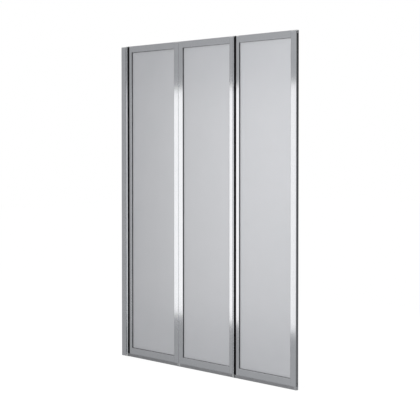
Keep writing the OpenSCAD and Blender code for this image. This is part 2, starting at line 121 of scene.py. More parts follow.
# The band of light fades in along each axis, from the first value to the second.
band_level = add_node(sky, "ShaderNodeValue")
band_level.outputs[0].default_value = band_strength
for axis, outside, inside in (("Z", -0.135, -0.122), ("Z", 0.050, 0.037), ("X", 0.25, 0.40), ("Y", 0.30, 0.20)):
    edge = add_node(sky, "ShaderNodeMapRange", values={"From Min": outside, "From Max": inside},
                    links={"Value": across.outputs[axis]})
    band_level = add_node(sky, "ShaderNodeMath", {"operation": "MULTIPLY"},
                          links={0: band_level.outputs[0], 1: edge.outputs[0]})
sweep_strength = add_node(sky, "ShaderNodeMath", {"operation": "MAXIMUM"},
                          links={0: graded_level.outputs[0], 1: band_level.outputs[0]})
ambient = add_node(sky, "ShaderNodeBackground", values={"Color": linear("#ffffff"), "Strength": ambient_level})
sweep = add_node(sky, "ShaderNodeBackground", values={"Color": linear("#ffffff")},
                 links={"Strength": sweep_strength.outputs[0]})
white = add_node(sky, "ShaderNodeBackground", values={"Color": linear("#ffffff"), "Strength": 1.0})
seen = add_node(sky, "ShaderNodeMath", {"operation": "MAXIMUM"},
                links={0: ray.outputs["Is Camera Ray"], 1: ray.outputs["Is Transmission Ray"]})
unseen = add_node(sky, "ShaderNodeMixShader",
                  links={0: ray.outputs["Is Glossy Ray"], 1: ambient.outputs[0], 2: sweep.outputs[0]})
shown = add_node(sky, "ShaderNodeMixShader", links={0: seen.outputs[0], 1: unseen.outputs[0], 2: white.outputs[0]})
add_node(sky, "ShaderNodeOutputWorld", links={"Surface": shown.outputs[0]})


def stage_card(name, centre, facing, width, height, material):
    """A flat card that stands at centre and faces a point; it is part of the studio."""
    mesh = bpy.data.meshes.new(name)
    w, h = width / 2, height / 2
    mesh.from_pydata([(-w, -h, 0), (w, -h, 0), (w, h, 0), (-w, h, 0)], [], [(0, 1, 2, 3)])
    turn = (Vector(facing) - Vector(centre)).to_track_quat("Z", "Y").to_matrix().to_4x4()
    mesh.transform(Matrix.Translation(centre) @ turn)
    mesh.materials.append(material)
    card = bpy.data.objects.new(name, mesh)
    scene.collection.objects.link(card)
    return card


# To the camera the floor glows nearly white and still takes the screen's shadow; to other rays it is pale grey.
floor_glow = 0.86
floor_span, floor_z = 30, -0.001
floor_white, tree = empty_material("white floor")
ray = add_node(tree, "ShaderNodeLightPath")
bounce = add_node(tree, "ShaderNodeBsdfDiffuse", values={"Color": linear("#b4b4b4")})
lit = add_node(tree, "ShaderNodeBsdfDiffuse", values={"Color": linear("#808080")})
glow = add_node(tree, "ShaderNodeEmission", values={"Color": linear("#ffffff"), "Strength": floor_glow})
both = add_node(tree, "ShaderNodeAddShader", links={0: lit.outputs[0], 1: glow.outputs[0]})
seen = add_node(tree, "ShaderNodeMath", {"operation": "MAXIMUM"},
                links={0: ray.outputs["Is Camera Ray"], 1: ray.outputs["Is Transmission Ray"]})
mixed = add_node(tree, "ShaderNodeMixShader", links={0: seen.outputs[0], 1: bounce.outputs[0], 2: both.outputs[0]})
add_node(tree, "ShaderNodeOutputMaterial", links={"Surface": mixed.outputs[0]})
floor = stage_card("floor", (0.6, 0, floor_z), (0.6, 0, 5), floor_span, floor_span, floor_white)
floor.visible_glossy = False

# Name, colour, level at the foot and at the head, centre, the point it faces, width and height. Only reflections
# see them.
card_list = [
    ("softbox", "#fffdfb", 1.275, 1.275, (-1.155, -1.50, 0.617), (-1.155, 0, 0.617), 1.43, 1.374),
    ("black_flag", "#ffffff", 0.19, 0.03, (3.15, 1.71, 0.600), (1.20, 0, 0.600), 0.80, 2.60)]
for name, colour, foot_level, head_level, centre, facing, width, height in card_list:
    cloth, tree = empty_material(name.replace("_", " ") + " cloth")
    place = add_node(tree, "ShaderNodeTexCoord")
    upward = add_node(tree, "ShaderNodeSeparateXYZ", links={0: place.outputs["Object"]})
    level = add_node(tree, "ShaderNodeMapRange", values={
        "From Min": centre[2] - height / 2, "From Max": centre[2] + height / 2, "To Min": foot_level,
        "To Max": head_level}, links={"Value": upward.outputs["Z"]})
    light = add_node(tree, "ShaderNodeEmission", values={"Color": linear(colour)},
                     links={"Strength": level.outputs[0]})
    add_node(tree, "ShaderNodeOutputMaterial", links={"Surface": light.outputs[0]})
    card = stage_card(name, centre, facing, width, height, cloth)
    card.visible_camera = False
    card.visible_diffuse = False
    card.visible_transmission = False
    card.visible_shadow = False

# Name, watts, whether it casts a shadow, place, and the point it faces
lamp_side = 0.9
lamp_list = [("key_lamp", 13.0, True, (1.5, -1.3, 1.10), (1.0, 0, 0.75)),
             ("back_lamp", 16.0, False, (0.5, 2.2, 1.10), (0.6, 0, 0.70))]
for name, watts, shadow, place, facing in lamp_list:
    lamp_data = bpy.data.lights.new(name, "AREA")
    lamp_data.size = lamp_side
    lamp_data.energy = watts
    lamp_data.use_shadow = shadow
    lamp = bpy.data.objects.new(name, lamp_data)
    lamp.location = place
    lamp.rotation_euler = (Vector(facing) - Vector(place)).to_track_quat("-Z", "Y").to_euler()
    lamp.visible_glossy = False
    lamp.visible_transmission = False
    scene.collection.objects.link(lamp)


# ======== Wall channel and expander ========
# Two aluminium extrusions: the channel is screwed to the wall, and the expander slides in it and carries the
# first hinge barrel. Bright dipped and anodised silver, so they mirror softly and show faint lines from the die.
def extruded_aluminium(name, line_scale):
    """Bright anodised aluminium whose die lines run along the axis that has the small scale."""
    material, tree = empty_material(name)
    place = add_node(tree, "ShaderNodeTexCoord")
    # Real die lines are some 0.1 mm apart; these are about 1 mm apart, so that they show at all.
    stretch = add_node(tree, "ShaderNodeMapping", values={"Scale": line_scale},
                       links={"Vector": place.outputs["Object"]})
    lines = add_node(tree, "ShaderNodeTexNoise", values={"Scale": 1.0, "Detail": 3.0, "Roughness": 0.6},
                     links={"Vector": stretch.outputs[0]})
    # The etch before anodising leaves faint clouds some 60 mm across.
    clouds = add_node(tree, "ShaderNodeTexNoise", values={"Scale": 16.0, "Detail": 2.0},
                      links={"Vector": place.outputs["Object"]})
    tone = add_node(tree, "ShaderNodeMix", {"data_type": "RGBA"},
                    values={6: linear("#d8dbe0"), 7: linear("#dfe1e5")}, links={0: clouds.outputs[0]})
    gloss = add_node(tree, "ShaderNodeMapRange", values={
        "From Min": 0.3, "From Max": 0.7, "To Min": 0.08, "To Max": 0.13}, links={"Value": lines.outputs[0]})
    relief = add_node(tree, "ShaderNodeBump", values={"Strength": 0.10, "Distance": 0.00004},
                      links={"Height": lines.outputs[0]})
    surface = add_node(tree, "ShaderNodeBsdfPrincipled", values={"Metallic": 1.0}, links={
        "Base Color": tone.outputs[2], "Roughness": gloss.outputs[0], "Normal": relief.outputs[0]})
    add_node(tree, "ShaderNodeOutputMaterial", links={"Surface": surface.outputs[0]})
    return material


def dress(node_name, material):
    """The CAD solid stays, with this finish."""
    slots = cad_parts[node_name].data.materials
    slots.clear()
    slots.append(material)


upright_aluminium = extruded_aluminium("bright anodised aluminium, upright", (1000, 1000, 4))
dress("wall_channel", upright_aluminium)
dress("expander_profile", upright_aluminium)


# ======== Moulded caps ========
# Pale grey nylon mouldings: the cap of the wall channel, the expander's cap and foot, the caps of the stiles and
# of the bottom seals. They push into the extrusions; all their edges are slightly round from the mould.
def moulded_plastic(name, body_colour, worn_colour, grit):
    """Injection-moulded plastic from a spark-eroded mould: matt, with a fine even grit."""
    material, tree = empty_material(name)
    place = add_node(tree, "ShaderNodeTexCoord")
    # Real grit is some 0.05 mm, and it is drawn more than ten times as coarse.
    grain = add_node(tree, "ShaderNodeTexNoise", values={"Scale": 1 / grit, "Detail": 2.0},
                     links={"Vector": place.outputs["Object"]})
    # Where the plastic flowed together, its tone shifts over about 10 mm.
    flow = add_node(tree, "ShaderNodeTexNoise", values={"Scale": 90.0, "Detail": 3.0},
                    links={"Vector": place.outputs["Object"]})
    tone = add_node(tree, "ShaderNodeMix", {"data_type": "RGBA"},
                    values={6: linear(body_colour), 7: linear(worn_colour)}, links={0: flow.outputs[0]})
    gloss = add_node(tree, "ShaderNodeMapRange", values={"To Min": 0.36, "To Max": 0.52},
                     links={"Value": grain.outputs[0]})
    relief = add_node(tree, "ShaderNodeBump", values={"Strength": 0.35, "Distance": 0.00008},
                      links={"Height": grain.outputs[0]})
    surface = add_node(tree, "ShaderNodeBsdfPrincipled", values={"IOR": 1.53}, links={
        "Base Color": tone.outputs[2], "Roughness": gloss.outputs[0], "Normal": relief.outputs[0]})
    add_node(tree, "ShaderNodeOutputMaterial", links={"Surface": surface.outputs[0]})
    return material


def finish_piece(name, mesh, material, body, node_name, edge=0.0):
    """A finished piece from a mesh: its material, its edges' radius in mm, what it rides on and stands for."""
    shell = bmesh.new()
    shell.from_mesh(mesh)
    bmesh.ops.recalc_face_normals(shell, faces=shell.faces)
    shell.to_mesh(mesh)
    shell.free()
    mesh.materials.clear()
    mesh.materials.append(material)
    mesh.shade_smooth()
    piece = bpy.data.objects.new(name, mesh)
    scene.collection.objects.link(piece)
    if edge:
        rounding = piece.modifiers.new("rounded edges", "BEVEL")
        rounding.width = edge / 1000
        rounding.segments = 3
        rounding.limit_method = "ANGLE"
        rounding.angle_limit = math.radians(40)
        rounding.use_clamp_overlap = True
        flat_faces = piece.modifiers.new("flat faces", "WEIGHTED_NORMAL")
        flat_faces.keep_sharp = True
    else:
        mesh.set_sharp_from_angle(angle=math.radians(38))
    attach(piece, body)
    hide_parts(node_name)


def merged_copy(node_name):
    """The CAD solid's faces as one closed mesh, with its flat faces whole."""
    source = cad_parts[node_name].data
    mesh = bpy.data.meshes.new(node_name + "_merged")
    mesh.from_pydata([v.co[:] for v in source.vertices], [], [p.vertices[:] for p in source.polygons])
    weld_reach, flat_angle = 0.002 / 1000, math.radians(1)
    shell = bmesh.new()
    shell.from_mesh(mesh)
    bmesh.ops.remove_doubles(shell, verts=shell.verts, dist=weld_reach)
    bmesh.ops.dissolve_limit(shell, angle_limit=flat_angle, verts=shell.verts, edges=shell.edges)
    shell.to_mesh(mesh)
    shell.free()
    return mesh


cap_edge = 0.4
cap_grit = 0.0007
# The seal caps are a darker grey than the others, nearer to the seals.
cap_nylon = moulded_plastic("moulded grey nylon", "#b0b2b4", "#b8babb", cap_grit)
seal_cap_nylon = moulded_plastic("moulded grey nylon, seal caps", "#9a9c9f", "#a3a5a8", cap_grit)
cap_nodes = [("wall", "wall_channel_cap", cap_nylon), ("wall", "expander_cap", cap_nylon),
             ("wall", "expander_foot", cap_nylon)]
for n in (1, 2, 3):
    cap_nodes += [(f"panel_{n}", f"panel_{n}_stile_cap", cap_nylon),
                  (f"panel_{n}", f"panel_{n}_seal_cap", seal_cap_nylon)]
for body, node_name, plastic in cap_nodes:
    finish_piece(node_name + "_moulding", merged_copy(node_name), plastic, body, node_name,
                 cap_edge)


# ======== Frames ========
# Each panel's frame is two stiles and two rails, hollow aluminium extrusions of the same bright anodised finish.
# The rails are sawn square and screwed between the stiles, so their die lines run level.
level_aluminium = extruded_aluminium("bright anodised aluminium, level", (4, 1000, 1000))
for n in (1, 2, 3):
    dress(f"panel_{n}_hinge_stile", upright_aluminium)
    dress(f"panel_{n}_free_stile" if n == 3 else f"panel_{n}_fold_stile", upright_aluminium)
    dress(f"panel_{n}_top_rail", level_aluminium)
    dress(f"panel_{n}_bottom_rail", level_aluminium)

# The frames' sizes, in millimetres; the panes, gaskets, hinges and seals are fitted to them.
screen_w, screen_h = 1200, 1400
half_d = 6.5
joint_x = {1: 46.5, 2: 431.0, 3: 815.5}
hinge_side = {1: -1, 2: 1, 3: -1}
stile_z0, stile_z1 = 14, 1396
rail_w = 28
hinge_stile_w, fold_stile_w, free_stile_w = 31.5, 31.5, 33
sight_x0 = {n: joint_x[n] + hinge_stile_w for n in joint_x}
sight_x1 = {1: joint_x[2] - fold_stile_w, 2: joint_x[3] - fold_stile_w, 3: screen_w - free_stile_w}


# ======== Screws ========
# Zinc-plated steel: cross-recessed screws through the stiles into the rails' screw ports, four to a panel, and
# countersunk screws that lock the expander in the channel. Their bright zinc shows through the access holes.
zinc_steel, tree = empty_material("zinc-plated steel")
place = add_node(tree, "ShaderNodeTexCoord")
# Zinc is laid down in patches about 2 mm across, some duller than others.
patches = add_node(tree, "ShaderNodeTexVoronoi", values={"Scale": 500.0},
                   links={"Vector": place.outputs["Object"]})
tone = add_node(tree, "ShaderNodeMix", {"data_type": "RGBA"},
                values={6: linear("#b9bcc0"), 7: linear("#cdd0d2")}, links={0: patches.outputs["Distance"]})
gloss = add_node(tree, "ShaderNodeMapRange", values={"To Min": 0.24, "To Max": 0.42},
                 links={"Value": patches.outputs["Distance"]})
surface = add_node(tree, "ShaderNodeBsdfPrincipled", values={"Metallic": 1.0},
                   links={"Base Color": tone.outputs[2], "Roughness": gloss.outputs[0]})
add_node(tree, "ShaderNodeOutputMaterial", links={"Surface": surface.outputs[0]})


def geometry_tree(name, inputs, output_name):
    """A new Geometry Nodes tree with the named inputs and one geometry output, and its inputs' sockets."""
    tree = bpy.data.node_groups.new(name, "GeometryNodeTree")
    for input_name, kind in inputs:
        tree.interface.new_socket(input_name, in_out="INPUT", socket_type="NodeSocket" + kind)
    tree.interface.new_socket(output_name, in_out="OUTPUT", socket_type="NodeSocketGeometry")
    return tree, add_node(tree, "NodeGroupInput").outputs


def end_tree(tree, geometry, material):
    """The tree's end: its instances made real, in that material."""
    real = add_node(tree, "GeometryNodeRealizeInstances", links={"Geometry": geometry})
    finished = add_node(tree, "GeometryNodeSetMaterial", links={"Geometry": real.outputs[0], "Material": material})
    add_node(tree, "NodeGroupOutput", links={0: finished.outputs[0]})


# The tree puts one screw at each point. A screw runs along +Z from its seat, and "turn" lays it in its hole.
screw_sizes = ["Length", "Core radius", "Thread height", "Pitch", "Head start", "Head height", "Outer radius",
               "Inner radius", "Recess width", "Recess depth"]
screw_tree, given = geometry_tree(
    "screws at points",
    [("Points", "Geometry")] + [(size_name, "Float") for size_name in screw_sizes] + [("Material", "Material")],
    "Screws")
half_length = add_node(screw_tree, "ShaderNodeMath", {"operation": "MULTIPLY"}, {1: 0.5}, {0: given["Length"]})
shank_middle = add_node(screw_tree, "ShaderNodeCombineXYZ", links={"Z": half_length.outputs[0]})
shank = add_node(screw_tree, "GeometryNodeMeshCylinder", values={"Vertices": 16},
                 links={"Radius": given["Core radius"], "Depth": given["Length"]})
shank = add_node(screw_tree, "GeometryNodeTransform",
                 links={"Geometry": shank.outputs[0], "Translation": shank_middle.outputs[0]})
turns = add_node(screw_tree, "ShaderNodeMath", {"operation": "DIVIDE"},
                 links={0: given["Length"], 1: given["Pitch"]})
helix = add_node(screw_tree, "GeometryNodeCurveSpiral", values={"Resolution": 14}, links={
    "Rotations": turns.outputs[0], "Start Radius": given["Core radius"], "End Radius": given["Core radius"],
    "Height": given["Length"]})
ridge = add_node(screw_tree, "GeometryNodeCurvePrimitiveCircle", {"mode": "RADIUS"}, {"Resolution": 3},
                 {"Radius": given["Thread height"]})
thread = add_node(screw_tree, "GeometryNodeCurveToMesh", values={"Fill Caps": True},
                  links={"Curve": helix.outputs[0], "Profile Curve": ridge.outputs[0]})
head = add_node(screw_tree, "GeometryNodeMeshCone", values={"Vertices": 24}, links={
    "Radius Top": given["Inner radius"], "Radius Bottom": given["Outer radius"], "Depth": given["Head height"]})
head_place = add_node(screw_tree, "ShaderNodeCombineXYZ", links={"Z": given["Head start"]})
# The cross recess: two bars, each four times as long as wide, whose lower halves cut into the head.
recess_l = add_node(screw_tree, "ShaderNodeMath", {"operation": "MULTIPLY"}, {1: 4.0}, {0: given["Recess width"]})
recess_z = add_node(screw_tree, "ShaderNodeMath", {"operation": "MULTIPLY"}, {1: 2.0}, {0: given["Recess depth"]})
slot_one = add_node(screw_tree, "ShaderNodeCombineXYZ", links={
    "X": recess_l.outputs[0], "Y": given["Recess width"], "Z": recess_z.outputs[0]})
slot_two = add_node(screw_tree, "ShaderNodeCombineXYZ", links={
    "X": given["Recess width"], "Y": recess_l.outputs[0], "Z": recess_z.outputs[0]})
bars = [add_node(screw_tree, "GeometryNodeMeshCube", links={"Size": s.outputs[0]}) for s in (slot_one, slot_two)]
cut_head = add_node(screw_tree, "GeometryNodeMeshBoolean", {"operation": "DIFFERENCE"},
                    links={"Mesh 1": head.outputs[0], "Mesh 2": bars[0].outputs[0]})
screw_tree.links.new(bars[1].outputs[0], cut_head.inputs["Mesh 2"])
cut_head = add_node(screw_tree, "GeometryNodeTransform",
                    links={"Geometry": cut_head.outputs[0], "Translation": head_place.outputs[0]})
screw = add_node(screw_tree, "GeometryNodeJoinGeometry", links={"Geometry": shank.outputs[0]})
screw_tree.links.new(thread.outputs[0], screw.inputs[0])
screw_tree.links.new(cut_head.outputs[0], screw.inputs[0])
turn_at = add_node(screw_tree, "GeometryNodeInputNamedAttribute", {"data_type": "FLOAT_VECTOR"}, {"Name": "turn"})
turned = add_node(screw_tree, "FunctionNodeEulerToRotation", links={0: turn_at.outputs[0]})
placed = add_node(screw_tree, "GeometryNodeInstanceOnPoints", links={
    "Points": given["Points"], "Instance": screw.outputs[0], "Rotation": turned.outputs[0]})
end_tree(screw_tree, placed.outputs[0], given["Material"])


def evaluated_mesh(name, source_mesh, tree, values):
    """The plain mesh that the tree makes from a mesh, with the named inputs set."""
    carrier = bpy.data.objects.new(name, source_mesh)
    scene.collection.objects.link(carrier)
    nodes_modifier = carrier.modifiers.new("nodes", "NODES")
    nodes_modifier.node_group = tree
    for item in tree.interface.items_tree:
        if item.in_out == "INPUT" and item.name in values:
            nodes_modifier[item.identifier] = values[item.name]
    graph = bpy.context.evaluated_depsgraph_get()
    mesh = bpy.data.meshes.new_from_object(carrier.evaluated_get(graph), preserve_all_data_layers=True,
                                           depsgraph=graph)
    carrier.modifiers.remove(nodes_modifier)
    bpy.data.objects.remove(carrier)
    return mesh


def screws(piece_name, node_name, body, places, turns, sizes):
    """Screws at the places, in millimetres, each turned out of +Z by its turn in degrees."""
    points = bpy.data.meshes.new(piece_name + "_points")
    points.from_pydata([(x / 1000, y / 1000, z / 1000) for x, y, z in places], [], [])
    turn_layer = points.attributes.new("turn", "FLOAT_VECTOR", "POINT")
    for k, turn in enumerate(turns):
        turn_layer.data[k].vector = [math.radians(t) for t in turn]
    values = dict(zip(screw_sizes, [s / 1000 for s in sizes]), Material=zinc_steel)
    mesh = evaluated_mesh(piece_name + "_carrier", points, screw_tree, values)
    finish_piece(piece_name, mesh, zinc_steel, body, node_name)


screw_seat, port_y = 11.3, 1.5
corner_zs = (23, 1391)
lock_x, lock_y, lock_zs = 20, 8.5, (150, 700, 1250)
# Length, core radius, thread height, pitch, head start and height, outer and inner radius, recess width and depth
corner_sizes = (35, 1.65, 0.32, 1.4, -2.4, 2.4, 2.5, 3.0, 0.9, 1.3)
lock_sizes = (9.5, 1.3, 0.28, 1.1, 0, 1.6, 3.2, 1.6, 0.9, 1.1)
for n in (1, 2, 3):
    y = -hinge_side[n] * port_y
    places = [(x, y, z) for x in (sight_x0[n] - screw_seat, sight_x1[n] + screw_seat) for z in corner_zs]
    screws(f"panel_{n}_cross_screws", f"panel_{n}_corner_screws", f"panel_{n}", places,
           [(0, 90, 0)] * 2 + [(0, -90, 0)] * 2, corner_sizes)
screws("expander_countersunk_screws", "expander_lock_screws", "wall", [(lock_x, lock_y, z) for z in lock_zs],
       [(90, 0, 0)] * 3, lock_sizes)


# ======== Panes ========
# Toughened safety glass, 3 mm thick and etched to a satin surface: it lets light through but no picture, and looks
# an even pale grey. Its edges are ground and its corners dubbed, and the frame holds 8 mm of it all round.
satin_glass, tree = empty_material("satin etched glass")
place = add_node(tree, "ShaderNodeTexCoord")
# The etch is a grain of some 0.1 mm; it is drawn at 1.5 mm, where it just shows.
etch = add_node(tree, "ShaderNodeTexNoise", values={"Scale": 650.0, "Detail": 2.0},
                links={"Vector": place.outputs["Object"]})
# Over some 140 mm the etch takes a little more or less, which shifts the tone and the sheen.
etch_clouds = add_node(tree, "ShaderNodeTexNoise", values={"Scale": 7.0, "Detail": 2.0},
                       links={"Vector": place.outputs["Object"]})
tone = add_node(tree, "ShaderNodeMix", {"data_type": "RGBA"},
                values={6: linear("#ced0d4"), 7: linear("#d4d5d9")}, links={0: etch_clouds.outputs[0]})
gloss = add_node(tree, "ShaderNodeMapRange", values={
    "From Min": 0.3, "From Max": 0.7, "To Min": 0.22, "To Max": 0.27}, links={"Value": etch_clouds.outputs[0]})
relief = add_node(tree, "ShaderNodeBump", values={"Strength": 0.12, "Distance": 0.00012},
                  links={"Height": etch.outputs[0]})
surface = add_node(tree, "ShaderNodeBsdfPrincipled", values={
    "IOR": 1.52, "Transmission Weight": 0.22, "Specular IOR Level": 1.0}, links={
    "Base Color": tone.outputs[2], "Roughness": gloss.outputs[0], "Normal": relief.outputs[0]})
add_node(tree, "ShaderNodeOutputMaterial", links={"Surface": surface.outputs[0]})


def prism(name, outline, along, start, end):
    """A closed bar: an outline of pairs in millimetres, run along the x, y or z axis from start to end."""
    order = {"x": lambda a, b, t: (t, a, b), "y": lambda a, b, t: (a, t, b), "z": lambda a, b, t: (a, b, t)}[along]
    count = len(outline)
    points = [order(a / 1000, b / 1000, t / 1000) for t in (start, end) for a, b in outline]
    faces = [tuple(range(count)), tuple(range(count, 2 * count))]
    faces += [(k, (k + 1) % count, (k + 1) % count + count, k + count) for k in range(count)]
    mesh = bpy.data.meshes.new(name)
    mesh.from_pydata(points, [], faces)
    return mesh


pane_half_t, pane_bite = 1.5, 8
dub, arris = 2, 0.4
for n in (1, 2, 3):
    x0, x1 = sight_x0[n] - pane_bite, sight_x1[n] + pane_bite
    z0, z1 = stile_z0 + rail_w - pane_bite, screen_h - rail_w + pane_bite
    outline = [(x0 + dub, z0), (x1 - dub, z0), (x1, z0 + dub), (x1, z1 - dub), (x1 - dub, z1), (x0 + dub, z1),
               (x0, z1 - dub), (x0, z0 + dub)]
    mesh = prism(f"panel_{n}_glass", outline, "y", -pane_half_t, pane_half_t)
    finish_piece(f"panel_{n}_glass", mesh, satin_glass, f"panel_{n}", f"panel_{n}_pane", arris)


# ======== Glazing gaskets ========
# Dark grey soft rubber channel round each pane's edge, mitred at the corners. Pressed into the glazing groove
# with the pane, it shows a rounded lip along the frame's sight edge on each face.
gasket_rubber, tree = empty_material("dark glazing rubber")
place = add_node(tree, "ShaderNodeTexCoord")
# Dull and nearly black: its skin, drawn 1.4 mm coarse, breaks the gloss, and a bloom of wax greys it in patches.
skin = add_node(tree, "ShaderNodeTexNoise", values={"Scale": 700.0, "Detail": 2.0},
                links={"Vector": place.outputs["Object"]})
bloom = add_node(tree, "ShaderNodeTexNoise", values={"Scale": 30.0, "Detail": 3.0},
                 links={"Vector": place.outputs["Object"]})
tone = add_node(tree, "ShaderNodeMix", {"data_type": "RGBA"},
                values={6: linear("#26282a"), 7: linear("#323436")}, links={0: bloom.outputs[0]})
gloss = add_node(tree, "ShaderNodeMapRange", values={"To Min": 0.45, "To Max": 0.62},
                 links={"Value": skin.outputs[0]})
surface = add_node(tree, "ShaderNodeBsdfPrincipled", values={"IOR": 1.5, "Specular IOR Level": 0.15},
                   links={"Base Color": tone.outputs[2], "Roughness": gloss.outputs[0]})
add_node(tree, "ShaderNodeOutputMaterial", links={"Surface": surface.outputs[0]})


def arc(u, y, r, start, end, steps):
    """Points on an arc, in degrees from the u axis."""
    return [(u + r * math.cos(math.radians(start + (end - start) * k / steps)),
             y + r * math.sin(math.radians(start + (end - start) * k / steps))) for k in range(steps + 1)]


# The half section at the front: u runs from the sight edge into the opening, y from the middle plane
gasket_t = 1
lip_y, lip_t = 5.7, 1.0
lip_r = lip_t / 2
waist_u, waist_y0, waist_y1 = lip_t - 0.25, 2.1, 3.2
base_u, base_y = -pane_bite - gasket_t, pane_half_t + gasket_t
front_half = ([(base_u, 0), (base_u, base_y), (0, base_y)] + arc(lip_r, lip_y - lip_r, lip_r, 180, 0, 6)
              + [(waist_u, waist_y1), (waist_u, waist_y0), (lip_t, pane_half_t), (-pane_bite, pane_half_t),
                 (-pane_bite, 0)])
gasket_section = front_half + [(u, -y) for u, y in reversed(front_half[1:-1])]
for n in (1, 2, 3):
    x0, x1, z0, z1 = sight_x0[n], sight_x1[n], stile_z0 + rail_w, screen_h - rail_w
    corners = [(x0, z0, 1, 1), (x1, z0, -1, 1), (x1, z1, -1, -1), (x0, z1, 1, -1)]
    points = [((x + sx * u) / 1000, y / 1000, (z + sz * u) / 1000)
              for x, z, sx, sz in corners for u, y in gasket_section]
    count = len(gasket_section)
    faces = [(a * count + k, a * count + (k + 1) % count, (a + 1) % 4 * count + (k + 1) % count,
              (a + 1) % 4 * count + k) for a in range(4) for k in range(count)]
    mesh = bpy.data.meshes.new(f"panel_{n}_glazing_rubber")
    mesh.from_pydata(points, [], faces)
    finish_piece(f"panel_{n}_glazing_rubber", mesh, gasket_rubber, f"panel_{n}", f"panel_{n}_gasket")


# ======== Hinge seals ========
# Black EPDM strip that covers each hinge's gap. It is extruded with fine ribs on its face and a foot at its
# back, and the foot snaps into a slot of the hinge stile.
black_rubber, tree = empty_material("black EPDM rubber")
place = add_node(tree, "ShaderNodeTexCoord")
# Black and matt: the die leaves fine lines along it, drawn about 1 mm apart, and a bloom greys it in patches.
stretch = add_node(tree, "ShaderNodeMapping", values={"Scale": (900, 900, 6)},
                   links={"Vector": place.outputs["Object"]})
flow = add_node(tree, "ShaderNodeTexNoise", values={"Scale": 1.0, "Detail": 3.0},
                links={"Vector": stretch.outputs[0]})
bloom = add_node(tree, "ShaderNodeTexNoise", values={"Scale": 22.0, "Detail": 4.0},
                 links={"Vector": place.outputs["Object"]})
tone = add_node(tree, "ShaderNodeMix", {"data_type": "RGBA"},
                values={6: linear("#08080a"), 7: linear("#121214")}, links={0: bloom.outputs[0]})
gloss = add_node(tree, "ShaderNodeMapRange", values={"To Min": 0.5, "To Max": 0.7},
                 links={"Value": flow.outputs[0]})
relief = add_node(tree, "ShaderNodeBump", values={"Strength": 0.15, "Distance": 0.00005},
                  links={"Height": flow.outputs[0]})
surface = add_node(tree, "ShaderNodeBsdfPrincipled", values={"IOR": 1.5, "Specular IOR Level": 0.1}, links={
    "Base Color": tone.outputs[2], "Roughness": gloss.outputs[0], "Normal": relief.outputs[0]})
add_node(tree, "ShaderNodeOutputMaterial", links={"Surface": surface.outputs[0]})

# The tree lays ribs side by side on the strip and joins them to it.
rib_tree, given = geometry_tree("ribs on a strip", [
    ("Strip", "Geometry"), ("First rib", "Vector"), ("Rib count", "Int"), ("Rib spacing", "Float"),
    ("Rib length", "Float"), ("Rib radius", "Float"), ("Material", "Material")], "Ribbed strip")
step = add_node(rib_tree, "ShaderNodeCombineXYZ", links={"X": given["Rib spacing"]})
row = add_node(rib_tree, "GeometryNodeMeshLine", {"mode": "OFFSET"}, links={
    "Count": given["Rib count"], "Start Location": given["First rib"], "Offset": step.outputs[0]})
rib_end = add_node(rib_tree, "ShaderNodeCombineXYZ", links={"Z": given["Rib length"]})
rib_line = add_node(rib_tree, "GeometryNodeCurvePrimitiveLine", links={"End": rib_end.outputs[0]})
rib_round = add_node(rib_tree, "GeometryNodeCurvePrimitiveCircle", {"mode": "RADIUS"}, {"Resolution": 10},
                     {"Radius": given["Rib radius"]})
rib = add_node(rib_tree, "GeometryNodeCurveToMesh", values={"Fill Caps": True},
               links={"Curve": rib_line.outputs[0], "Profile Curve": rib_round.outputs[0]})
placed = add_node(rib_tree, "GeometryNodeInstanceOnPoints", links={
    "Points": row.outputs[0], "Instance": rib.outputs[0]})
joined = add_node(rib_tree, "GeometryNodeJoinGeometry", links={"Geometry": placed.outputs[0]})
rib_tree.links.new(given["Strip"], joined.inputs[0])
end_tree(rib_tree, joined.outputs[0], given["Material"])


def join_meshes(name, meshes):
    """One mesh of several, each of them whole."""
    shell = bmesh.new()
    for mesh in meshes:
        shell.from_mesh(mesh)
    joined_mesh = bpy.data.meshes.new(name)
    shell.to_mesh(joined_mesh)
    shell.free()
    return joined_mesh


def rounded_polygon(corners, r, steps=4):
    """A polygon's points with each corner rounded to r; the corners run anticlockwise."""
    points = []
    for k, (x, y) in enumerate(corners):
        before, after = Vector(corners[k - 1]), Vector(corners[(k + 1) % len(corners)])
        here = Vector((x, y))
        into, out = (before - here).normalized(), (after - here).normalized()
        half_angle = into.angle(out) / 2
        reach = min(r / math.tan(half_angle), 0.49 * min((before - here).length, (after - here).length))
        centre = here + (into + out).normalized() * reach / math.cos(half_angle)
        start, end = here + into * reach, here + out * reach
        for s in range(steps + 1):
            spoke = (start - centre).lerp(end - centre, s / steps).normalized() * (start - centre).length
            points.append(tuple(centre + spoke))
    return points


cover_x0, cover_w, cover_t, cover_r = 1.85, 10.6, 1.5, 0.5
rib_proud, rib_count, rib_r, rib_inset, rib_end_gap = 0.25, 6, 0.45, 1.3, 0.4
seal_end_x, tail_w, pivot_lift = 3.9, 5, 1
neck_w, foot_w, foot_t, foot_slope, frame_wall = 4, 7, 2, 0.8, 1.3
overlap = 0.1
back, face = half_d, half_d + cover_t - rib_proud
slot_x = cover_x0 + cover_w / 2
neck_x0, neck_x1 = slot_x - neck_w / 2, slot_x + neck_w / 2
foot_x0, foot_x1 = slot_x - foot_w / 2, slot_x + foot_w / 2
foot_y = back - frame_wall


def cover_strip(x0, x1):
    """The outline of a strip that covers the gap between x0 and x1."""
    return rounded_polygon([(x0, back), (x1, back), (x1, face), (x0, face)], cover_r)


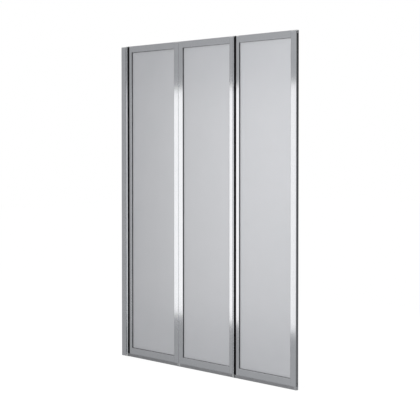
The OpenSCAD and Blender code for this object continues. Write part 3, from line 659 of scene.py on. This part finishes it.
# Outlines in x from the joint plane and in y from the middle plane, with the height where each starts and ends
seal_shapes = [
    (cover_strip(cover_x0, cover_x0 + cover_w), stile_z0, stile_z1),
    ([(neck_x0, back + overlap), (neck_x0, foot_y), (foot_x0, foot_y), (foot_x0 + foot_slope, foot_y - foot_t),
      (foot_x1 - foot_slope, foot_y - foot_t), (foot_x1, foot_y), (neck_x1, foot_y), (neck_x1, back + overlap)],
     stile_z0, stile_z1),
    (cover_strip(seal_end_x, cover_x0 + cover_w), stile_z1 - overlap, screen_h),
    (cover_strip(seal_end_x, seal_end_x + tail_w), pivot_lift, stile_z0 + overlap)]
rib_spacing = (cover_w - 2 * rib_inset) / (rib_count - 1)
for n in (1, 2, 3):
    side = hinge_side[n]
    meshes = [prism("rubber", [(joint_x[n] + x, side * y) for x, y in outline], "z", z0, z1)
              for outline, z0, z1 in seal_shapes]
    strip_mesh = join_meshes("rubber", meshes)
    first_rib = (joint_x[n] + cover_x0 + rib_inset, side * (half_d + cover_t - rib_r), stile_z0 + rib_end_gap)
    mesh = evaluated_mesh(f"panel_{n}_ribs_carrier", strip_mesh, rib_tree, {
        "First rib": Vector(first_rib) / 1000, "Rib count": rib_count, "Rib spacing": rib_spacing / 1000,
        "Rib length": (stile_z1 - stile_z0 - 2 * rib_end_gap) / 1000, "Rib radius": rib_r / 1000,
        "Material": black_rubber})
    finish_piece(f"panel_{n}_hinge_rubber", mesh, black_rubber, f"panel_{n}", f"panel_{n}_hinge_seal")


# ======== Hinge pivots ========
# Grey nylon mouldings on top of and below each hinge stile, with an ear that carries the steel hinge pin over
# the neighbour's barrel. They are the same plastic as the caps.
for n in (1, 2, 3):
    for end in ("top", "bottom"):
        node_name = f"panel_{n}_{end}_pivot"
        finish_piece(node_name + "_moulding", merged_copy(node_name), cap_nylon, f"panel_{n}", node_name,
                     cap_edge)


# ======== Hinge pins and bushes ========
# Ground steel pins with chamfered ends, pressed into the pivots, turn in white nylon bushes. The bushes sit in
# the barrels, and their thrust flanges carry the panel.
pin_steel, tree = empty_material("ground steel")
place = add_node(tree, "ShaderNodeTexCoord")
# Grinding leaves fine rings round the pin, drawn 0.4 mm apart, that break up its shine.
stretch = add_node(tree, "ShaderNodeMapping", values={"Scale": (20, 20, 2500)},
                   links={"Vector": place.outputs["Object"]})
rings = add_node(tree, "ShaderNodeTexNoise", values={"Scale": 1.0, "Detail": 2.0},
                 links={"Vector": stretch.outputs[0]})
gloss = add_node(tree, "ShaderNodeMapRange", values={"To Min": 0.14, "To Max": 0.34},
                 links={"Value": rings.outputs[0]})
surface = add_node(tree, "ShaderNodeBsdfPrincipled", values={"Base Color": linear("#c6c7c9"), "Metallic": 1.0},
                   links={"Roughness": gloss.outputs[0]})
add_node(tree, "ShaderNodeOutputMaterial", links={"Surface": surface.outputs[0]})
# Undyed nylon is a warm white, and the mould of a bearing is a little smoother.
bush_nylon = moulded_plastic("white bearing nylon", "#e2e2dd", "#e8e8e4", 0.0006)


def lathe(profile, centre_x, centre_y, steps=40):
    """Points and faces of a profile of (radius, height) pairs turned round an upright axis, in millimetres."""
    points, rings, faces = [], [], []
    for r, z in profile:
        if r == 0:
            rings.append([len(points)])
            points.append((centre_x / 1000, centre_y / 1000, z / 1000))
        else:
            rings.append(list(range(len(points), len(points) + steps)))
            points += [((centre_x + r * math.cos(2 * math.pi * k / steps)) / 1000,
                        (centre_y + r * math.sin(2 * math.pi * k / steps)) / 1000, z / 1000) for k in range(steps)]
    closed = profile[0][0] and profile[-1][0]
    for a, b in zip(rings, rings[1:] + (rings[:1] if closed else [])):
        for k in range(steps):
            corner = [a[k % len(a)], a[(k + 1) % len(a)], b[(k + 1) % len(b)], b[k % len(b)]]
            faces.append(tuple(dict.fromkeys(corner)))
    mesh = bpy.data.meshes.new("turned")
    mesh.from_pydata(points, [], faces)
    return mesh


axis_inset, axis_y = 2.3, 8.5
pin_r, pin_chamfer = 1.75, 0.35
bore_r, bush_r, flange_r, flange_t, bush_l = 1.8, 2.75, 3.6, 0.8, 20
bush_chamfer, flange_chamfer = 0.3, 0.2
pin_ends = ((1378, 1399.6), (1.4, 32))
carriers = {1: "wall", 2: "panel_1", 3: "panel_2"}
# Radius, and height out of the barrel's end
bush_section = [(bore_r, -bush_l), (bush_r - bush_chamfer, -bush_l), (bush_r, bush_chamfer - bush_l), (bush_r, 0),
                (flange_r, 0), (flange_r, flange_t - flange_chamfer), (flange_r - flange_chamfer, flange_t),
                (bore_r + flange_chamfer, flange_t), (bore_r, flange_t - flange_chamfer)]
for n in (1, 2, 3):
    x, y = joint_x[n] - axis_inset, hinge_side[n] * axis_y
    pins = [lathe([(0, z0), (pin_r - pin_chamfer, z0), (pin_r, z0 + pin_chamfer), (pin_r, z1 - pin_chamfer),
                   (pin_r - pin_chamfer, z1), (0, z1)], x, y) for z0, z1 in pin_ends]
    finish_piece(f"panel_{n}_ground_pins", join_meshes("pins", pins), pin_steel, f"panel_{n}",
                 f"panel_{n}_hinge_pins")
    bushes = [lathe([(r, seat + out * z) for r, z in bush_section], x, y)
              for seat, out in ((stile_z1, 1), (stile_z0, -1))]
    finish_piece(f"hinge_{n}_flanged_bushes", join_meshes("bushes", bushes), bush_nylon, carriers[n],
                 f"hinge_{n}_bushes")


# ======== Bottom seals ========
# Soft grey PVC hollow strip under each panel. Extruded, with shallow grooves along its faces so that it gives
# on the bath rim, and clipped into a slot of the bottom rail.
seal_vinyl, tree = empty_material("soft grey vinyl")
place = add_node(tree, "ShaderNodeTexCoord")
# A low sheen: the die leaves lines along it, drawn 1.4 mm apart, and the grey shifts over some 40 mm.
stretch = add_node(tree, "ShaderNodeMapping", values={"Scale": (5, 700, 700)},
                   links={"Vector": place.outputs["Object"]})
flow = add_node(tree, "ShaderNodeTexNoise", values={"Scale": 1.0, "Detail": 3.0},
                links={"Vector": stretch.outputs[0]})
cloud = add_node(tree, "ShaderNodeTexNoise", values={"Scale": 25.0, "Detail": 3.0},
                 links={"Vector": place.outputs["Object"]})
tone = add_node(tree, "ShaderNodeMix", {"data_type": "RGBA"},
                values={6: linear("#88898d"), 7: linear("#929396")}, links={0: cloud.outputs[0]})
gloss = add_node(tree, "ShaderNodeMapRange", values={"To Min": 0.32, "To Max": 0.48},
                 links={"Value": flow.outputs[0]})
relief = add_node(tree, "ShaderNodeBump", values={"Strength": 0.15, "Distance": 0.00005},
                  links={"Height": flow.outputs[0]})
surface = add_node(tree, "ShaderNodeBsdfPrincipled", values={"IOR": 1.53}, links={
    "Base Color": tone.outputs[2], "Roughness": gloss.outputs[0], "Normal": relief.outputs[0]})
add_node(tree, "ShaderNodeOutputMaterial", links={"Surface": surface.outputs[0]})

cap_w, seal_h, seal_r, joint_half = 11, 14, 2.5, 0.8
groove_zs, groove_half, groove_floor_half, groove_deep = (10.6, 8.2, 5.8), 0.45, 0.12, 0.5
clip_slope = 0.6
# One side of the section from the top down, in y and z
right_side = [(half_d, seal_h)]
for z in groove_zs:
    right_side += [(half_d, z + groove_half), (half_d - groove_deep, z + groove_floor_half),
                   (half_d - groove_deep, z - groove_floor_half), (half_d, z - groove_half)]
right_side += arc(half_d - seal_r, seal_r, seal_r, 0, -90, 6)
seal_outline = right_side + [(-y, z) for y, z in reversed(right_side)]
clip_half = [(neck_w / 2, -overlap), (neck_w / 2, frame_wall), (foot_w / 2, frame_wall),
             (foot_w / 2 - clip_slope, frame_wall + foot_t)]
clip_outline = [(y, stile_z0 + z) for y, z in clip_half + [(-y, z) for y, z in reversed(clip_half)]]
for n in (1, 2, 3):
    x0 = joint_x[n] + joint_half + cap_w
    x1 = (screen_w if n == 3 else joint_x[n + 1] - joint_half) - cap_w
    mesh = join_meshes("seal", [prism("seal", seal_outline, "x", x0, x1),
                                prism("seal", clip_outline, "x", sight_x0[n], sight_x1[n])])
    finish_piece(f"panel_{n}_grooved_seal", mesh, seal_vinyl, f"panel_{n}", f"panel_{n}_bottom_seal")
